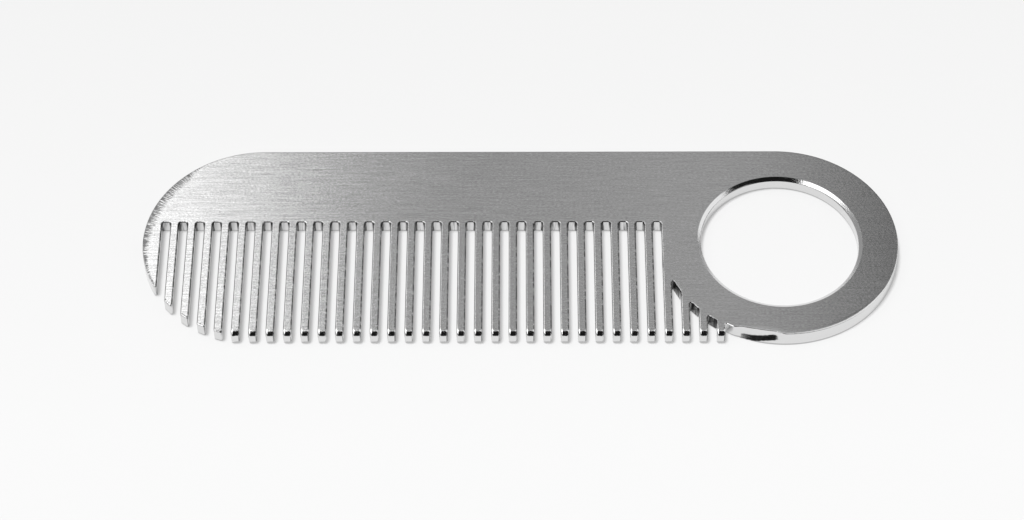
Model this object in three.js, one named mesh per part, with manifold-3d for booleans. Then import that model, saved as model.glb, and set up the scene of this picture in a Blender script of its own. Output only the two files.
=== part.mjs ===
// Pocket beard comb with a finger ring, cut in one piece from stainless steel plate.
// The plate lies flat: X runs along the comb with the ring at +X, the straight spine is at +Y, the
// teeth point to -Y, and the underside is at Z = 0. The origin is the middle of the underside.
// The outline is a stadium. Thirty slots of full length and three short ones cut the comb's teeth.
// Every edge is broken all round, the row of tooth tips is ground round and set back a little from
// the ring, and the ring's hole has a wide rounding on both faces, so nothing on the comb is sharp.

import * as THREE from 'three';
import { mergeVertices } from 'three/addons/utils/BufferGeometryUtils.js';
import Module from 'manifold-3d';

// Driving dimensions, in mm
const LENGTH = 101.6;
const WIDTH = 31.75;
const THICKNESS = 2.0;
const HOLE_DIAMETER = 21.1;
const HOLE_ROUNDING = 0.55;
const TOOTH_PITCH = 2.286;
const SLOT_WIDTH = 1.143;
const FULL_SLOTS = 30;
const SHORT_SLOTS = 3;
const FIRST_SLOT_X = -47.85;
const SLOT_ROOT_Y = 3.25;
const SLOT_ROOT_FILLET = 0.3;
const SHORT_SLOT_CLEARANCE = 0.2;
const SHORT_SLOT_FILLET = 0.15;
const TIP_FILLET = 0.25;
const GUARD_TIP_FILLET = 0.25;
const EDGE_BREAK = 0.18;
const TIP_SETBACK = 0.25;
const TIP_ROUNDING_ABOVE = 0.85;
const TIP_ROUNDING_BELOW = 0.6;
// Length of the end arcs that is left straight for the fillets at their toothed ends
const FILLET_ROOM = 1.2;
// How far the shapes that are cut away reach past the plate
const CUTTER_OVERRUN = 1;

// How finely the round stretches are divided
const QUARTER_SEGMENTS = 20;
const PART_SEGMENTS = 8;
const HOLE_SEGMENTS = 64;
const ROOT_FILLET_SEGMENTS = 3;
const TIP_FILLET_SEGMENTS = 2;
const ROUNDING_SEGMENTS = 3;
const TIP_ROUNDING_SEGMENTS = 4;

// Worked out from them
const END_RADIUS = WIDTH / 2;
const END_CENTRE_X = LENGTH / 2 - END_RADIUS;
const HOLE_RADIUS = HOLE_DIAMETER / 2;
const SHORT_SLOT_RADIUS = END_RADIUS + SHORT_SLOT_CLEARANCE;

// Points along an arc, from one angle to the other, both ends included
function arcPoints(centreX, centreY, radius, fromAngle, toAngle, segments) {
  const points = [];
  for (let i = 0; i <= segments; i += 1) {
    const angle = fromAngle + ((toAngle - fromAngle) * i) / segments;
    const x = centreX + radius * Math.cos(angle);
    const y = centreY + radius * Math.sin(angle);
    points.push(new THREE.Vector2(x, y));
  }
  return points;
}

// Rounds the corner between two straight stretches that meet at a point
function filletPoints(before, corner, after, radius, segments) {
  const toBefore = before.clone().sub(corner).normalize();
  const toAfter = after.clone().sub(corner).normalize();
  const halfAngle = Math.acos(toBefore.dot(toAfter)) / 2;
  const bisector = toBefore.clone().add(toAfter).normalize();
  const centre = corner.clone().addScaledVector(bisector, radius / Math.sin(halfAngle));
  const tangentLength = radius / Math.tan(halfAngle);
  const start = corner.clone().addScaledVector(toBefore, tangentLength).sub(centre);
  const end = corner.clone().addScaledVector(toAfter, tangentLength).sub(centre);
  const turn = Math.atan2(start.cross(end), start.dot(end));
  const from = start.angle();
  return arcPoints(centre.x, centre.y, radius, from, from + turn, segments);
}

// Height of the stadium's lower side at a place along the comb
function lowerSide(x) {
  const pastEnd = Math.max(Math.abs(x) - END_CENTRE_X, 0);
  return -Math.sqrt(END_RADIUS ** 2 - pastEnd ** 2);
}

// Top of a slot's wall: a straight row of roots, or the ring's own circle where that is lower
function slotTop(x) {
  const fromRing = x - END_CENTRE_X;
  if (Math.abs(fromRing) >= SHORT_SLOT_RADIUS) {
    return SLOT_ROOT_Y;
  }
  return -Math.sqrt(SHORT_SLOT_RADIUS ** 2 - fromRing ** 2);
}

function tipCorner(x, y, radius) {
  return { at: new THREE.Vector2(x, y), radius, segments: TIP_FILLET_SEGMENTS };
}

function rootCorner(x, y, radius) {
  return { at: new THREE.Vector2(x, y), radius, segments: ROOT_FILLET_SEGMENTS };
}

// Corners of the toothed side from the guard at the far left to the notch beside the ring
function toothedSideCorners() {
  const corners = [];
  const slots = FULL_SLOTS + SHORT_SLOTS;
  for (let i = 0; i < slots; i += 1) {
    const centreX = FIRST_SLOT_X + i * TOOTH_PITCH;
    const left = centreX - SLOT_WIDTH / 2;
    const right = centreX + SLOT_WIDTH / 2;
    const isFull = i < FULL_SLOTS;
    const leftTop = isFull ? SLOT_ROOT_Y : slotTop(left);
    const rightTop = isFull ? SLOT_ROOT_Y : slotTop(right);
    const rootFillet = isFull ? SLOT_ROOT_FILLET : SHORT_SLOT_FILLET;
    const leftTipFillet = i === 0 ? GUARD_TIP_FILLET : TIP_FILLET;
    corners.push(tipCorner(left, lowerSide(left), leftTipFillet));
    corners.push(rootCorner(left, leftTop, rootFillet));
    corners.push(rootCorner(right, rightTop, rootFillet));
    corners.push(tipCorner(right, lowerSide(right), TIP_FILLET));
  }
  return corners;
}

// The whole outline, anticlockwise from the ring end of the spine
function outlinePoints() {
  const corners = toothedSideCorners();
  const lastTooth = FIRST_SLOT_X + (FULL_SLOTS + SHORT_SLOTS) * TOOTH_PITCH - SLOT_WIDTH / 2;
  const ringRise = Math.acos((lastTooth - END_CENTRE_X) / END_RADIUS);
  corners.push(tipCorner(lastTooth, lowerSide(0), TIP_FILLET));
  corners.push(rootCorner(lastTooth, -END_RADIUS * Math.sin(ringRise), SHORT_SLOT_FILLET));

  const guardRise = Math.acos((-END_CENTRE_X - corners[0].at.x) / END_RADIUS);
  const guardAngle = Math.PI + guardRise - FILLET_ROOM / END_RADIUS;
  const notchAngle = -ringRise + FILLET_ROOM / END_RADIUS;
  const quarter = Math.PI / 2;
  const leftEnd = [
    ...arcPoints(-END_CENTRE_X, 0, END_RADIUS, quarter, 2 * quarter, QUARTER_SEGMENTS),
    ...arcPoints(-END_CENTRE_X, 0, END_RADIUS, 2 * quarter, guardAngle, PART_SEGMENTS).slice(1),
  ];
  const ringEnd = [
    ...arcPoints(END_CENTRE_X, 0, END_RADIUS, notchAngle, -quarter, PART_SEGMENTS).slice(0, -1),
    ...arcPoints(END_CENTRE_X, 0, END_RADIUS, -quarter, quarter, 2 * QUARTER_SEGMENTS),
  ];

  const points = [...leftEnd];
  corners.forEach((corner, i) => {
    const before = i === 0 ? leftEnd[leftEnd.length - 1] : corners[i - 1].at;
    const after = i === corners.length - 1 ? ringEnd[0] : corners[i + 1].at;
    points.push(...filletPoints(before, corner.at, after, corner.radius, corner.segments));
  });
  points.push(...ringEnd);
  return points;
}

// The toothed stadium as sheared from the sheet, with its edges broken
function makeBlank() {
  const geometry = new THREE.ExtrudeGeometry(new THREE.Shape(outlinePoints()), {
    depth: THICKNESS - 2 * EDGE_BREAK,
    steps: 1,
    bevelEnabled: true,
    bevelThickness: EDGE_BREAK,
    bevelSize: EDGE_BREAK,
    bevelOffset: -EDGE_BREAK,
    bevelSegments: 1,
  });
  geometry.translate(0, 0, EDGE_BREAK);
  return geometry;
}

// What is cut away for the ring's hole: a round bar that flares at both faces
function makeHoleCutter() {
  const quarter = Math.PI / 2;
  const mouth = HOLE_RADIUS + HOLE_ROUNDING;
  const top = THICKNESS - HOLE_ROUNDING;
  const profile = [
    new THREE.Vector2(0, -CUTTER_OVERRUN),
    new THREE.Vector2(mouth, -CUTTER_OVERRUN),
    ...arcPoints(mouth, HOLE_ROUNDING, HOLE_ROUNDING, -quarter, -2 * quarter, ROUNDING_SEGMENTS),
    ...arcPoints(mouth, top, HOLE_ROUNDING, 2 * quarter, quarter, ROUNDING_SEGMENTS),
    new THREE.Vector2(mouth, THICKNESS + CUTTER_OVERRUN),
    new THREE.Vector2(0, THICKNESS + CUTTER_OVERRUN),
  ];
  const geometry = new THREE.LatheGeometry(profile, HOLE_SEGMENTS);
  geometry.rotateX(quarter);
  geometry.translate(END_CENTRE_X, 0, 0);
  return geometry;
}

// What the grinding wheel takes off along the tips: a bar with a rounded groove
function makeTipCutter() {
  const quarter = Math.PI / 2;
  const below = TIP_ROUNDING_BELOW;
  const above = TIP_ROUNDING_ABOVE;
  const top = THICKNESS - above;
  const overTop = THICKNESS + CUTTER_OVERRUN;
  const section = new THREE.Shape([
    new THREE.Vector2(-CUTTER_OVERRUN, overTop),
    new THREE.Vector2(-CUTTER_OVERRUN, -CUTTER_OVERRUN),
    new THREE.Vector2(below, -CUTTER_OVERRUN),
    ...arcPoints(below, below, below, -quarter, -2 * quarter, TIP_ROUNDING_SEGMENTS),
    ...arcPoints(above, top, above, 2 * quarter, quarter, TIP_ROUNDING_SEGMENTS),
    new THREE.Vector2(above, overTop),
  ]);
  const start = -LENGTH / 2 - CUTTER_OVERRUN;
  const lastTooth = FIRST_SLOT_X + (FULL_SLOTS + SHORT_SLOTS) * TOOTH_PITCH - SLOT_WIDTH / 2;
  const depth = lastTooth + SLOT_WIDTH / 4 - start;
  const geometry = new THREE.ExtrudeGeometry(section, { depth, steps: 1, bevelEnabled: false });
  geometry.rotateX(quarter);
  geometry.rotateZ(quarter);
  geometry.translate(start, TIP_SETBACK - END_RADIUS, 0);
  return geometry;
}

function toSolid(geometry) {
  const bare = geometry.clone();
  bare.deleteAttribute('normal');
  bare.deleteAttribute('uv');
  const merged = mergeVertices(bare);
  const vertProperties = new Float32Array(merged.attributes.position.array);
  const triVerts = new Uint32Array(merged.index.array);
  return new wasm.Manifold(new wasm.Mesh({ numProp: 3, vertProperties, triVerts }));
}

function toGeometry(solid) {
  const mesh = solid.getMesh();
  const geometry = new THREE.BufferGeometry();
  geometry.setAttribute('position', new THREE.BufferAttribute(mesh.vertProperties, 3));
  geometry.setIndex(new THREE.BufferAttribute(mesh.triVerts, 1));
  geometry.computeVertexNormals();
  return geometry;
}

function makePlate() {
  const blank = toSolid(makeBlank());
  const drilled = blank.subtract(toSolid(makeHoleCutter()));
  return toGeometry(drilled.subtract(toSolid(makeTipCutter())));
}

const wasm = await Module();
wasm.setup();

const brushedSteel = new THREE.MeshStandardMaterial({
  color: 0xb9babb,
  roughness: 0.35,
  metalness: 1.0,
});

const combPlate = new THREE.Mesh(makePlate(), brushedSteel);
combPlate.name = 'comb_plate';

const group = new THREE.Group();
group.add(combPlate);

export default group;
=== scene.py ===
import math

import bpy
from mathutils import Matrix, Vector


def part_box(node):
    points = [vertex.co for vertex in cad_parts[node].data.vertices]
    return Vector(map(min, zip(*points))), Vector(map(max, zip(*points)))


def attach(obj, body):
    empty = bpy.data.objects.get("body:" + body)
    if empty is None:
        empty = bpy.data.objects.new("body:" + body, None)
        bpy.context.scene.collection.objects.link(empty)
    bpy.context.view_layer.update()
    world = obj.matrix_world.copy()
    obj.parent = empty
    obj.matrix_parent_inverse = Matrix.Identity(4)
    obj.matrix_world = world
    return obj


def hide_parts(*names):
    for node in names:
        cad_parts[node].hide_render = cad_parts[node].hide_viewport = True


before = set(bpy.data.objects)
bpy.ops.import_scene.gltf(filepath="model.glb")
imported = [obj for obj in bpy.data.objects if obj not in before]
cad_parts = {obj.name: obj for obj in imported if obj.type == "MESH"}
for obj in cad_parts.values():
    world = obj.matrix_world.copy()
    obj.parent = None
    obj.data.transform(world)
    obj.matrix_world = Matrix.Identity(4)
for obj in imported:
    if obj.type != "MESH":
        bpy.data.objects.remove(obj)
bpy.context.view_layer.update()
scene = bpy.context.scene
mm = 0.001


# ---------------------------------------------------------------- camera
# A long portrait lens on a tripod, looking down on the comb from the side that the teeth point to.
# It is turned and rolled by a fifth of a degree, as a tripod head is that was set by eye.

camera_azimuth = math.radians(0.21)
camera_elevation = math.radians(52.42)
camera_roll = math.radians(-0.21)
camera_distance = 415.6 * mm
camera_target = Vector((-1.12, -1.71, 0.0)) * mm
lens_length = 108.45

towards_camera = Vector((
    math.sin(camera_azimuth) * math.cos(camera_elevation),
    -math.cos(camera_azimuth) * math.cos(camera_elevation),
    math.sin(camera_elevation),
))
level_right = Vector((math.cos(camera_azimuth), math.sin(camera_azimuth), 0.0))
level_up = towards_camera.cross(level_right)
camera_right = math.cos(camera_roll) * level_right + math.sin(camera_roll) * level_up
camera_up = math.cos(camera_roll) * level_up - math.sin(camera_roll) * level_right

camera_data = bpy.data.cameras.new("camera")
camera_data.lens = lens_length
camera_data.sensor_width = 36.0
camera_data.clip_start = 0.01
camera_data.dof.use_dof = False
camera = bpy.data.objects.new("camera", camera_data)
turn = Matrix((camera_right, camera_up, towards_camera)).transposed()
place = Matrix.Translation(camera_target + camera_distance * towards_camera)
camera.matrix_world = place @ turn.to_4x4()
scene.collection.objects.link(camera)
scene.camera = camera


# ---------------------------------------------------------------- studio floor and light
# An opal acrylic table runs out to a plain pale backdrop. Its glow is painted light that stands in for
# light from below and lightens the shadows on it. A large soft box hangs to the left and another to the
# right, with a grey wall between them and a dark room in front.

class Board:
    def __init__(self, tree):
        self.tree = tree

    def node(self, kind, settings=None, inputs=None, output=0):
        made = self.tree.nodes.new(kind)
        for name, value in (settings or {}).items():
            setattr(made, name, value)
        for key, value in (inputs or {}).items():
            self.feed(made.inputs[key], value)
        return Wire(self, made, output)

    def feed(self, socket, value):
        if isinstance(value, Wire):
            self.tree.links.new(value.socket, socket)
        else:
            socket.default_value = value

    def vector(self, x, y, z):
        return self.node("ShaderNodeCombineXYZ", inputs={0: x, 1: y, 2: z})

    def math(self, operation, *values):
        return self.node("ShaderNodeMath", {"operation": operation}, dict(enumerate(values)))

    def blend(self, factor, first, second):
        return first + factor * (second - first)


# One output socket. A sum, difference, product or quotient of these adds the Math node for it
class Wire:
    def __init__(self, board, made, output=0):
        self.board, self.made = board, made
        self.socket = made.outputs[output] if made.outputs else None

    def other(self, output):
        return Wire(self.board, self.made, output)

    def split(self):
        parts = self.board.node("ShaderNodeSeparateXYZ", inputs={0: self})
        return parts, parts.other(1), parts.other(2)

    def __add__(self, value):
        return self.board.math("ADD", self, value)

    def __radd__(self, value):
        return self.board.math("ADD", value, self)

    def __sub__(self, value):
        return self.board.math("SUBTRACT", self, value)

    def __rsub__(self, value):
        return self.board.math("SUBTRACT", value, self)

    def __mul__(self, value):
        return self.board.math("MULTIPLY", self, value)

    def __rmul__(self, value):
        return self.board.math("MULTIPLY", value, self)

    def __truediv__(self, value):
        return self.board.math("DIVIDE", self, value)

    def __rtruediv__(self, value):
        return self.board.math("DIVIDE", value, self)

    def root(self):
        return self.board.math("SQRT", self)

    def size(self):
        return self.board.math("ABSOLUTE", self)

    def at_least(self, value):
        return self.board.math("MAXIMUM", self, value)

    def at_most(self, value):
        return self.board.math("MINIMUM", self, value)

    def fraction(self):
        return self.board.math("FRACT", self)

    # 0 where this is at or below the first value, 1 where it is at or past the second
    def rise(self, start, end):
        settings = {"interpolation_type": "SMOOTHSTEP"}
        inputs = {0: self, 1: start, 2: end, 3: 0.0, 4: 1.0}
        return self.board.node("ShaderNodeMapRange", settings, inputs)


table_half = 3.0
table_gap = 0.02 * mm

table_mesh = bpy.data.meshes.new("table_top")
table_mesh.from_pydata(
    [(x * table_half, y * table_half, -table_gap) for x, y in ((-1, -1), (1, -1), (1, 1), (-1, 1))],
    [], [(0, 1, 2, 3)],
)
table_top = bpy.data.objects.new("table_top", table_mesh)
scene.collection.objects.link(table_top)

acrylic = bpy.data.materials.new("white_acrylic")
acrylic.use_nodes = True
acrylic_shader = acrylic.node_tree.nodes["Principled BSDF"]
acrylic_shader.inputs["Base Color"].default_value = (0.11, 0.11, 0.11, 1.0)
acrylic_shader.inputs["Roughness"].default_value = 0.9
acrylic_shader.inputs["Specular IOR Level"].default_value = 0.1
acrylic_shader.inputs["Emission Strength"].default_value = 0.46
# Painted light: the table's glow stands in for light from below, painted a little stronger towards the
# camera
sheet = Board(acrylic.node_tree)
table_x, table_y, table_z = sheet.node("ShaderNodeTexCoord", output="Object").split()
painted_glow = (0.95 - 1.6 * table_y).at_least(0.75).at_most(1.0)
painted_glow = sheet.node("ShaderNodeCombineColor", inputs={0: painted_glow, 1: painted_glow, 2: painted_glow})
sheet.feed(acrylic_shader.inputs["Emission Color"], painted_glow)
table_mesh.materials.append(acrylic)

# The lamp overhead, a little to the left, throws the shadows; the steel sees the soft boxes instead
lamp_data = bpy.data.lights.new("overhead_lamp", "SUN")
lamp_data.energy = 12.3
lamp_data.angle = math.radians(17.0)
lamp = bpy.data.objects.new("overhead_lamp", lamp_data)
lamp.rotation_euler = (0.0, math.radians(-10.0), 0.0)
lamp.visible_glossy = False
scene.collection.objects.link(lamp)

world = bpy.data.worlds.new("studio")
world.use_nodes = True
world.node_tree.nodes.clear()
studio = Board(world.node_tree)
direction = studio.node("ShaderNodeTexCoord", output="Generated")
east, north, height = direction.split()
above = height.at_least(0.02)
across = east / above
ahead = north / above

# The back wall, seen in the upper face: lighter to the left, darker to the right
wall = 0.37 + 0.12 * across.rise(0.015, 0.07) - 0.43 * across.rise(0.105, 0.175)
# The room behind the camera, from the table's edge to nearly overhead: dark in the middle,
# lighter to both sides
middle = (0.0 - 0.8 * ahead - across.size()).rise(-0.1, 0.1)
middle = middle.at_least((ahead + 1.0 - 0.3 * across.size()).rise(-0.1, 0.1))
room_side = 1.0 - ahead.rise(0.05, 0.20)
above_table = height.rise(0.06, 0.14)
wall = studio.blend(room_side * above_table, wall, studio.blend(middle, 0.34, 0.010))
far_edge = (1.0 - height.rise(0.08, 0.16)) * (1.0 - room_side)
wall = studio.blend(far_edge, wall, 0.50)

# Left soft box: its right side runs back, and its near side is set at a slant
side = (-0.086 - 0.04 * ahead).at_most(-0.12 + 0.42 * ahead)
left_box = (1.0 - (across - side).rise(-0.03, 0.03)) * across.rise(-1.25, -1.05)
left_box = left_box * ahead.rise(-1.45, -1.35) * (1.0 - (ahead - 0.35 * across).rise(0.96, 1.06))
lit = studio.blend(left_box, wall, 2.0)
# Right soft box: its left and near sides are both set at a slant
right_box = (across - 0.54 * ahead).rise(-0.10, -0.02) * (1.0 - across.rise(3.6, 4.2))
right_box = right_box * (ahead + 0.40 * across).rise(0.10, 0.18)
far_side = (1.2 * across - 1.0).at_least(0.85)
right_box = right_box * (1.0 - (ahead - far_side).rise(0.0, 0.15))
lit = studio.blend(right_box, lit, 1.05)

shade = studio.node("ShaderNodeCombineColor", inputs={0: lit, 1: lit, 2: lit})
light = studio.node("ShaderNodeBackground", inputs={"Color": shade, "Strength": 1.0})
backdrop = studio.node("ShaderNodeBackground", inputs={"Color": (0.93, 0.93, 0.93, 1.0)})
seen = studio.node("ShaderNodeLightPath", output="Is Camera Ray")
both = studio.node("ShaderNodeMixShader", inputs={0: seen, 1: light, 2: backdrop})
studio.node("ShaderNodeOutputWorld", inputs={"Surface": both})
scene.world = world

scene.view_settings.view_transform = "Standard"
scene.view_settings.look = "None"


# ---------------------------------------------------------------- comb plate: outline
# The whole comb is one piece of 2 mm stainless sheet. Its outline is a stadium, with the tooth
# slots cut in from one side and a round hole for the finger at one end.

low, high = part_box("comb_plate")
length = high[0] - low[0]
width = high[1] - low[1]
thickness = high[2] - low[2]
end_radius = width / 2
end_x = length / 2 - end_radius

hole_radius = 10.58 * mm
tooth_pitch = 2.286 * mm
slot_width = 1.143 * mm
full_slots = 30
short_slots = 3
first_slot_x = -47.85 * mm
slot_root_y = 3.25 * mm
root_fillet = 0.26 * mm
short_fillet = 0.15 * mm
tip_fillet = 0.32 * mm
oblique_tip_fillet = 0.24 * mm
short_slot_radius = end_radius + 0.2 * mm
# So far inside the line of the tips that the grinding never reaches it, in metres
not_ground = 1.0


class Corner:
    def __init__(self, x, y, radius, steps, is_tip):
        self.place = Vector((x, y))
        self.radius, self.steps, self.is_tip = radius, steps, is_tip


def arc(x, y, radius, start, end, steps):
    turns = [start + (end - start) * i / steps for i in range(steps + 1)]
    return [Vector((x + radius * math.cos(a), y + radius * math.sin(a))) for a in turns]


def fillet(before, corner, after):
    back = (before - corner.place).normalized()
    onward = (after - corner.place).normalized()
    half = back.angle(onward) / 2
    middle = corner.place + (back + onward).normalized() * (corner.radius / math.sin(half))
    reach = corner.radius / math.tan(half)
    start = corner.place + back * reach - middle
    end = corner.place + onward * reach - middle
    first = math.atan2(start.y, start.x)
    sweep = math.atan2(start.x * end.y - start.y * end.x, start.dot(end))
    return arc(middle.x, middle.y, corner.radius, first, first + sweep, corner.steps)


def lower_side(x):
    past_end = max(abs(x) - end_x, 0.0)
    return -math.sqrt(end_radius ** 2 - past_end ** 2)


# The first few teeth end on the round of the plate and not in the ground row
def tip_radius(x):
    return oblique_tip_fillet if lower_side(x) + end_radius > 0.5 * mm else tip_fillet


def slot_top(x, is_full):
    if is_full:
        return slot_root_y
    return -math.sqrt(short_slot_radius ** 2 - (x - end_x) ** 2)


corners = []
for i in range(full_slots + short_slots):
    left = first_slot_x + i * tooth_pitch - slot_width / 2
    right = left + slot_width
    is_full = i < full_slots
    root_radius = root_fillet if is_full else short_fillet
    corners.append(Corner(left, lower_side(left), tip_radius(left), 5, True))
    corners.append(Corner(left, slot_top(left, is_full), root_radius, 6, False))
    corners.append(Corner(right, slot_top(right, is_full), root_radius, 6, False))
    corners.append(Corner(right, lower_side(right), tip_radius(right), 5, True))
last_x = first_slot_x + (full_slots + short_slots) * tooth_pitch - slot_width / 2
corners.append(Corner(last_x, lower_side(last_x), tip_fillet, 5, True))
ring_angle = -math.acos((last_x - end_x) / end_radius)
corners[-1].place.y = -end_radius
corners.append(Corner(last_x, end_radius * math.sin(ring_angle), short_fillet, 5, False))

fillet_room = 1.1 * mm / end_radius
guard_angle = math.pi + math.acos((-end_x - corners[0].place.x) / end_radius)
quarter = math.pi / 2
left_end = arc(-end_x, 0.0, end_radius, quarter, 2 * quarter, 60)
left_end += arc(-end_x, 0.0, end_radius, 2 * quarter, guard_angle - fillet_room, 24)[1:]
ring_end = arc(end_x, 0.0, end_radius, ring_angle + fillet_room, -quarter, 24)[:-1]
ring_end += arc(end_x, 0.0, end_radius, -quarter, quarter, 120)

# Each point of the outline knows its kind of edge: "outer" is 1 on the outer rim and 0 in the
# slots, and "ground" is how far it lies inside the line of the ground tooth tips
outline = []
for point in left_end:
    outline.append((point, 1.0, not_ground))
for i, corner in enumerate(corners):
    before = corners[i - 1].place if i else left_end[-1]
    after = corners[i + 1].place if i + 1 < len(corners) else ring_end[0]
    for point in fillet(before, corner, after):
        ground = corner.place.y + end_radius if corner.is_tip else not_ground
        outline.append((point, 0.0, ground))
for point in ring_end:
    outline.append((point, 1.0, not_ground))
hole = [(point, 0.0, not_ground) for point in arc(end_x, 0.0, hole_radius, 2 * math.pi, 0.0, 160)[:-1]]


def inward_steps(loop):
    steps = []
    for i, (point, outer, ground) in enumerate(loop):
        here = (point - loop[i - 1][0]).normalized()
        there = (loop[(i + 1) % len(loop)][0] - point).normalized()
        first = Vector((-here.y, here.x))
        second = Vector((-there.y, there.x))
        step = (first + second) / (1.0 + first.dot(second))
        if not outer:
            step.y *= min(ground / mm, 1.0)
        steps.append((step.x, step.y, 0.0))
    return steps


def ramp(value, start, end):
    return min(max((value - start) / (end - start), 0.0), 1.0)


def clear_of_teeth(point):
    nearest = min((point - corners[0].place).length, (point - corners[-1].place).length)
    return ramp(nearest, 0.0, 4.0 * mm)


# How far the face's edge is rolled over: widely on the near side of the ring, hardly elsewhere
def roll_width(point):
    near_ring = ramp(point.x, 27.5 * mm, 31.0 * mm) * ramp(-point.y, 8.0 * mm, 14.0 * mm)
    return (0.12 + 0.58 * near_ring * clear_of_teeth(point)) * mm


# How far the rim leans in from the underside to the face: most on the spine, not at all at the ends
def lean(point):
    if point.y > 0.0:
        most = 0.33 - 0.09 * ramp(point.x, 15.0 * mm, 31.0 * mm)
    else:
        most = 0.33 * ramp(point.x, 27.5 * mm, 31.0 * mm)
    return most * (point.y / end_radius) ** 2 * clear_of_teeth(point) * mm


# The wheel that ground the tips ran on and left a short bevel low on the near side of the ring
def bevel(point):
    if point.y > 0.0:
        return 0.0
    return 0.42 * mm * ramp(point.x, 28.2 * mm, 29.0 * mm) * ramp(point.x, 34.9 * mm, 33.4 * mm)


def bevel_lip(point):
    wander = 0.07 * math.sin(point.x / mm * 9.0) + 0.06 * math.sin(point.x / mm * 23.0)
    return (1.2 - 0.7 * ramp(point.x, 31.0 * mm, 33.2 * mm) + wander) * mm


def wire_mesh(name, loops):
    places, edges, inwards = [], [], []
    values = {"outer": [], "ground": [], "roll": [], "lean": [], "bevel": [], "lip": []}
    for loop in loops:
        first = len(places)
        count = len(loop)
        edges += [(first + i, first + (i + 1) % count) for i in range(count)]
        inwards += inward_steps(loop)
        for point, outer, ground in loop:
            places.append((point.x, point.y, 0.0))
            values["outer"].append(outer)
            values["ground"].append(ground)
            values["roll"].append(roll_width(point))
            values["lean"].append(lean(point))
            values["bevel"].append(bevel(point))
            values["lip"].append(bevel_lip(point))
    mesh = bpy.data.meshes.new(name)
    mesh.from_pydata(places, edges, [])
    for label, numbers in values.items():
        mesh.attributes.new(label, "FLOAT", "POINT").data.foreach_set("value", numbers)
    flat = [number for step in inwards for number in step]
    mesh.attributes.new("inward", "FLOAT_VECTOR", "POINT").data.foreach_set("vector", flat)
    return mesh


# ---------------------------------------------------------------- comb plate: body
# The outline becomes the plate by a Geometry Nodes tree. Loop after loop is drawn down through
# the thickness, each moved in by what the tumbling, grinding and rubbing took off at that depth,
# and the two flat faces are filled in at the end.

lofting = bpy.data.node_groups.new("plate_from_outline", "GeometryNodeTree")
lofting.is_modifier = True
for label, kind in (
    ("Geometry", "NodeSocketGeometry"),
    ("Thickness", "NodeSocketFloat"),
    ("Layers", "NodeSocketInt"),
    ("Slot Edge Radius", "NodeSocketFloat"),
    ("Hole Bevel Width", "NodeSocketFloat"),
    ("Hole Bevel Depth", "NodeSocketFloat"),
    ("Rim Roll Depth", "NodeSocketFloat"),
    ("Ring Bevel Depth", "NodeSocketFloat"),
    ("Tip Radius Above", "NodeSocketFloat"),
    ("Tip Radius Below", "NodeSocketFloat"),
    ("Tip Setback", "NodeSocketFloat"),
    ("Steel", "NodeSocketMaterial"),
):
    lofting.interface.new_socket(label, in_out="INPUT", socket_type=kind)
lofting.interface.new_socket("Geometry", in_out="OUTPUT", socket_type="NodeSocketGeometry")

loft = Board(lofting)
given = loft.node("NodeGroupInput")
plate_depth = given.other("Thickness")
layers = given.other("Layers")


def named(label, kind="FLOAT"):
    return loft.node("GeometryNodeInputNamedAttribute", {"data_type": kind}, {"Name": label})


def store(geometry, label, value, kind="FLOAT", domain="POINT", selection=True):
    return loft.node(
        "GeometryNodeStoreNamedAttribute", {"data_type": kind, "domain": domain},
        {"Geometry": geometry, "Selection": selection, "Name": label, "Value": value},
    )


# How far a quarter round of a given radius has moved in at a depth below the face
def rounding(depth, radius):
    up = (1.0 - depth / radius).at_least(0.0)
    return radius * (1.0 - (1.0 - up * up).at_least(0.0).root())


def layer_place(step):
    turn = step * math.pi / layers
    level = plate_depth * (0.5 + 0.5 * loft.math("COSINE", turn))
    depth = level.at_most(plate_depth - level)
    outer = named("outer")
    in_hole = named("in_hole")
    slot_in = rounding(depth, given.other("Slot Edge Radius"))
    hole_bevel = (1.0 - (plate_depth - level) / given.other("Hole Bevel Depth")).at_least(0.0)
    hole_in = given.other("Hole Bevel Width") * hole_bevel
    hole_in = hole_in + rounding(level, given.other("Slot Edge Radius"))
    roll_depth = given.other("Rim Roll Depth")
    ring_bevel = 1.0 - (plate_depth - level - named("lip")) / given.other("Ring Bevel Depth")
    ring_bevel = ring_bevel.at_least(0.0).at_most(1.0)
    rim_in = rounding(depth, roll_depth) / roll_depth * named("roll")
    rim_in = rim_in + named("lean") * level / plate_depth + named("bevel") * ring_bevel
    moved_in = loft.blend(in_hole, loft.blend(outer, slot_in, rim_in), hole_in)
    above = rounding(plate_depth - level, given.other("Tip Radius Above"))
    below = rounding(level, given.other("Tip Radius Below"))
    nose = (above.at_least(below) + given.other("Tip Setback") - named("ground")).at_least(0.0)
    home_x, home_y, home_z = named("home", "FLOAT_VECTOR").split()
    in_x, in_y, in_z = named("inward", "FLOAT_VECTOR").split()
    return loft.vector(home_x + in_x * moved_in, home_y + in_y * moved_in + nose, level)


def put(geometry, place, selection=True):
    inputs = {"Geometry": geometry, "Selection": selection, "Position": place}
    return loft.node("GeometryNodeSetPosition", inputs=inputs)


home = loft.node("GeometryNodeInputPosition")
wire = store(given, "home", home, "FLOAT_VECTOR")
wire = store(wire, "layer", 0.0)
wire = store(wire, "front", True, "BOOLEAN", "EDGE")
top_loops = put(wire, layer_place(loft.node("ShaderNodeValue") * 0.0))
bottom_loops = put(store(wire, "layer", layers), layer_place(layers * 1.0))

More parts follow.
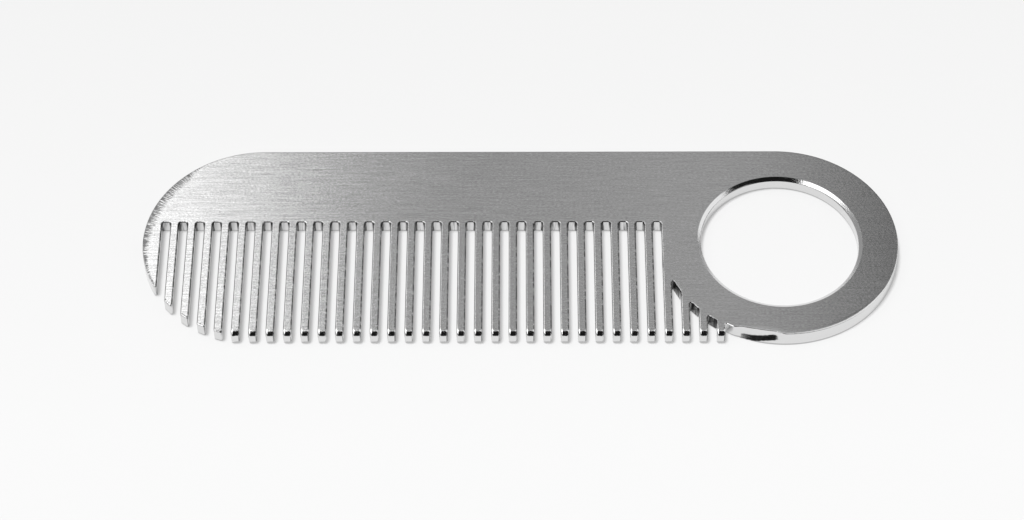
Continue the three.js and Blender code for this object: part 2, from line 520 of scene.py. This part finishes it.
step_in = lofting.nodes.new("GeometryNodeRepeatInput")
step_out = lofting.nodes.new("GeometryNodeRepeatOutput")
step_in.pair_with_output(step_out)
loft.feed(step_in.inputs["Iterations"], layers)
loft.feed(step_in.inputs["Geometry"], top_loops)
step = Wire(loft, step_in, "Iteration") + 1.0
drawn = loft.node(
    "GeometryNodeExtrudeMesh", {"mode": "EDGES"},
    {"Mesh": Wire(loft, step_in, "Geometry"), "Selection": named("front", "BOOLEAN"),
     "Offset Scale": 0.0},
)
newest = drawn.other("Top")
wall = store(drawn, "front", newest, "BOOLEAN", "EDGE")
wall = store(wall, "layer", step, selection=newest)
wall = put(wall, layer_place(step), newest)
loft.feed(step_out.inputs["Geometry"], wall)
walls = Wire(loft, step_out, "Geometry")


def filled(loops, level):
    curve = loft.node("GeometryNodeMeshToCurve", inputs={"Mesh": loops})
    face = loft.node("GeometryNodeFillCurve", inputs={"Curve": curve})
    x, y, z = loft.node("GeometryNodeInputPosition").split()
    return put(face, loft.vector(x, y, level))


upper_face = store(filled(top_loops, plate_depth), "layer", 0.0)
under_face = store(filled(bottom_loops, 0.0), "layer", layers)
under_face = loft.node("GeometryNodeFlipFaces", inputs={"Mesh": under_face})
joined = loft.node("GeometryNodeJoinGeometry")
for part in (walls, upper_face, under_face):
    lofting.links.new(part.socket, joined.made.inputs[0])
welded = loft.node("GeometryNodeMergeByDistance", inputs={"Geometry": joined, "Distance": 0.0005 * mm})
smooth = loft.node("GeometryNodeSetShadeSmooth", inputs={"Geometry": welded, "Shade Smooth": True})
solid = loft.node("GeometryNodeRealizeInstances", inputs={"Geometry": smooth})
finished = loft.node("GeometryNodeSetMaterial", inputs={
    "Geometry": solid, "Material": given.other("Steel"),
})
loft.node("NodeGroupOutput", inputs={0: finished})

steel = bpy.data.materials.new("brushed_steel_sheet")
steel.use_nodes = True

wire_piece = bpy.data.objects.new("outline", wire_mesh("outline", [outline, hole]))
in_hole = [0.0] * len(outline) + [1.0] * len(hole)
wire_piece.data.attributes.new("in_hole", "FLOAT", "POINT").data.foreach_set("value", in_hole)
scene.collection.objects.link(wire_piece)
loft_modifier = wire_piece.modifiers.new("loft", "NODES")
loft_modifier.node_group = lofting
layer_count = 32
settings = {
    "Thickness": thickness,
    "Layers": layer_count,
    "Slot Edge Radius": 0.18 * mm,
    "Hole Bevel Width": 0.52 * mm,
    "Hole Bevel Depth": 0.38 * mm,
    "Rim Roll Depth": 0.06 * mm,
    "Ring Bevel Depth": 0.80 * mm,
    "Tip Radius Above": 0.85 * mm,
    "Tip Radius Below": 0.60 * mm,
    "Tip Setback": 0.25 * mm,
    "Steel": steel,
}
for item in lofting.interface.items_tree:
    if item.in_out == "INPUT" and item.name in settings:
        loft_modifier[item.identifier] = settings[item.name]

depsgraph = bpy.context.evaluated_depsgraph_get()
plate_mesh = bpy.data.meshes.new_from_object(wire_piece.evaluated_get(depsgraph))
bpy.data.objects.remove(wire_piece)
plate_mesh.name = "comb_plate_mesh"
comb = bpy.data.objects.new("comb", plate_mesh)
scene.collection.objects.link(comb)

# The flat faces shade dead flat, and every other point by the mean of the faces round it
layer_of = [item.value for item in plate_mesh.attributes["layer"].data]
normals = [Vector((0.0, 0.0, 0.0)) for vertex in plate_mesh.vertices]
for face in plate_mesh.polygons:
    for number in face.vertices:
        normals[number] += face.normal * face.area
for number, layer in enumerate(layer_of):
    if layer in (0.0, float(layer_count)):
        normals[number] = Vector((0.0, 0.0, 1.0 if layer == 0.0 else -1.0))
    normals[number].normalize()
plate_mesh.normals_split_custom_set_from_vertices(normals)
polish = [min(layer, layer_count - layer) / 2.0 for layer in layer_of]
polish = [min(value, 1.0) for value in polish]
plate_mesh.attributes.new("polish", "FLOAT", "POINT").data.foreach_set("value", polish)
drawing_aids = ["layer", "home", "front", "outer", "ground", "roll", "lean", "bevel", "lip"]
drawing_aids += ["inward", "in_hole"]
for label in drawing_aids:
    plate_mesh.attributes.remove(plate_mesh.attributes[label])


# ---------------------------------------------------------------- comb plate: steel
# Bright rolled stainless sheet. Its two faces are brushed along the comb in fine broken lines,
# and its edges, slots and hole are polished smooth, with faint upright marks from the cutting.
# The lowest part of the edges is painted darker: painted shade where the walls meet the table.

steel.node_tree.nodes.clear()
brush = Board(steel.node_tree)
place = brush.node("ShaderNodeTexCoord", output="Object")
along, over, deep = place.split()


def noise(x_per_mm, y_per_mm, z_per_mm, detail=2.0, turned=0.0, seed=0.0):
    vector = brush.vector(
        (along + over * turned) * (x_per_mm / mm) + seed, over * (y_per_mm / mm), deep * (z_per_mm / mm)
    )
    inputs = {"Vector": vector, "Scale": 1.0, "Detail": detail, "Roughness": 0.6}
    return brush.node("ShaderNodeTexNoise", {"noise_dimensions": "3D"}, inputs)


polished = brush.node("ShaderNodeAttribute", {"attribute_name": "polish"}, output="Fac")
hairlines = noise(0.24, 6.5, 1.0, 3.0)
streaks = noise(0.09, 2.6, 1.0, 2.0, seed=7.0)
specks = noise(2.4, 7.0, 1.0, 1.0, seed=11.0)
clouds = noise(0.05, 0.12, 0.1, 2.0, seed=3.0)
cut_marks = noise(6.0, 6.0, 0.25, 2.0, seed=5.0)

# The left end was rubbed over by hand, so its grain is coarser
rubbed = (0.0 - along).rise(5.0 * mm, 45.0 * mm)
grain = (hairlines - 0.5) * (0.44 + 0.50 * rubbed) + (streaks - 0.5) * (0.12 + 0.32 * rubbed)
grain = grain + (specks - 0.5) * 0.56
height = brush.blend(polished, grain, (cut_marks - 0.5) * 1.2)
relief = brush.node("ShaderNodeBump", inputs={"Strength": 1.0, "Distance": 0.010 * mm, "Height": height})

# Short dark marks of the rubbing stand square to the rim, deepest on the far shoulder
from_end = along + end_x
reach = (from_end * from_end + over * over).root()
turn = brush.math("ARCTAN2", over, 0.0 - from_end)
mark_place = brush.vector(turn * 110.0, reach * (0.6 / mm), 0.0)
marks = brush.node("ShaderNodeTexNoise", {"noise_dimensions": "2D"}, {
    "Vector": mark_place, "Scale": 1.0, "Detail": 2.0, "Roughness": 0.6,
})
shoulder = turn.rise(-0.45, 0.35) * (1.0 - turn.rise(0.75, 1.0))
near_rim = (1.0 - (end_radius - reach) / (mm * (0.45 + 1.1 * shoulder))).at_least(0.0)
rim_marks = (near_rim * 1.3 + (marks - 0.5) * 3.8).rise(0.15, 0.95) * near_rim.rise(0.0, 0.3)
rim_marks = rim_marks * (0.0 - along).rise(36.0 * mm, 40.0 * mm)

# Painted shade darkens the corners of the full slots' roots, mixed with dark upright marks, and the
# roots of the last three are darker all over. A painted dark reflection runs along the right edge of
# every tooth
from_slot = ((along - first_slot_x) / tooth_pitch + 0.5).fraction() - 0.5
from_slot = from_slot * tooth_pitch
# Painted shade: the slot corners are darkened where they would reflect the shaded table by the teeth
corner = from_slot.rise(0.26 * mm, 0.50 * mm) * 0.9
corner = corner + (0.0 - from_slot).rise(0.26 * mm, 0.50 * mm) * 1.3
root_marks = noise(3.0, 3.0, 0.25, 2.0, seed=17.0)
root_zone = over.rise(slot_root_y - 1.5 * mm, slot_root_y - 0.3 * mm)
root_zone = root_zone * (1.0 - over.rise(slot_root_y + 0.3 * mm, slot_root_y + 0.6 * mm))
root_zone = root_zone * along.rise(first_slot_x - 1.75 * mm, first_slot_x - 1.35 * mm)
root_zone = root_zone * (1.0 - along.rise(20.4 * mm, 21.0 * mm))
full_root_shade_and_marks = (corner + (root_marks - 0.55) * 4.0) * 0.9 * root_zone
# The roots of the last three slots are darker, with dark marks
from_ring = along - end_x
from_ring = (from_ring * from_ring + over * over).root() - short_slot_radius
ring_zone = from_ring.rise(-1.0 * mm, -0.5 * mm) * (1.0 - from_ring.rise(0.1 * mm, 0.7 * mm))
ring_zone = ring_zone * (1.0 - along.rise(25.9 * mm, 26.5 * mm))
ring_zone = ring_zone * (0.0 - over).rise(2.0 * mm, 4.0 * mm)
short_root_darkening = (0.9 + (root_marks - 0.5) * 2.5) * ring_zone
root_shade_and_marks = full_root_shade_and_marks.at_least(short_root_darkening).at_least(0.0).at_most(1.0)
# Painted reflection: a dark broken line along the right edge of every tooth stands in for the dark room
# seen in the rounded edge
painted_edge_reflection = noise(1.0, 1.8, 0.2, 3.0, seed=13.0).rise(0.34, 0.58)
tooth_edge = 0.66 * mm
painted_edge_reflection = painted_edge_reflection * (1.0 - (from_slot + tooth_edge).size().rise(0.06 * mm, 0.14 * mm))
painted_edge_reflection = painted_edge_reflection * (1.0 - over.rise(slot_root_y - 0.5 * mm, slot_root_y))
painted_edge_reflection = painted_edge_reflection * from_ring.rise(0.2 * mm, 0.6 * mm)

tone_face = 0.66 * (1.0 + grain)
tone_face = tone_face * (1.0 - 0.76 * rim_marks)
# Painted shade: the edges darken over their lowest 0.3 mm, where the walls meet the table
tone_edge = 0.74 * (1.0 - 0.92 * root_shade_and_marks) * (0.62 + 0.38 * deep.rise(0.12 * mm, 0.30 * mm))
tone = brush.blend(polished, tone_face, tone_edge) * (1.0 - 0.70 * painted_edge_reflection)
tint = brush.node("ShaderNodeCombineColor", inputs={0: tone, 1: tone, 2: tone})
gloss_face = 0.145 + (clouds - 0.5) * 0.05 + (streaks - 0.5) * 0.04
gloss = brush.blend(polished, gloss_face, 0.12)

skin = brush.node("ShaderNodeBsdfPrincipled", inputs={
    "Base Color": tint, "Metallic": 1.0, "Roughness": gloss, "Normal": relief,
})
brush.node("ShaderNodeOutputMaterial", inputs={"Surface": skin})

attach(comb, "root")
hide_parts("comb_plate")
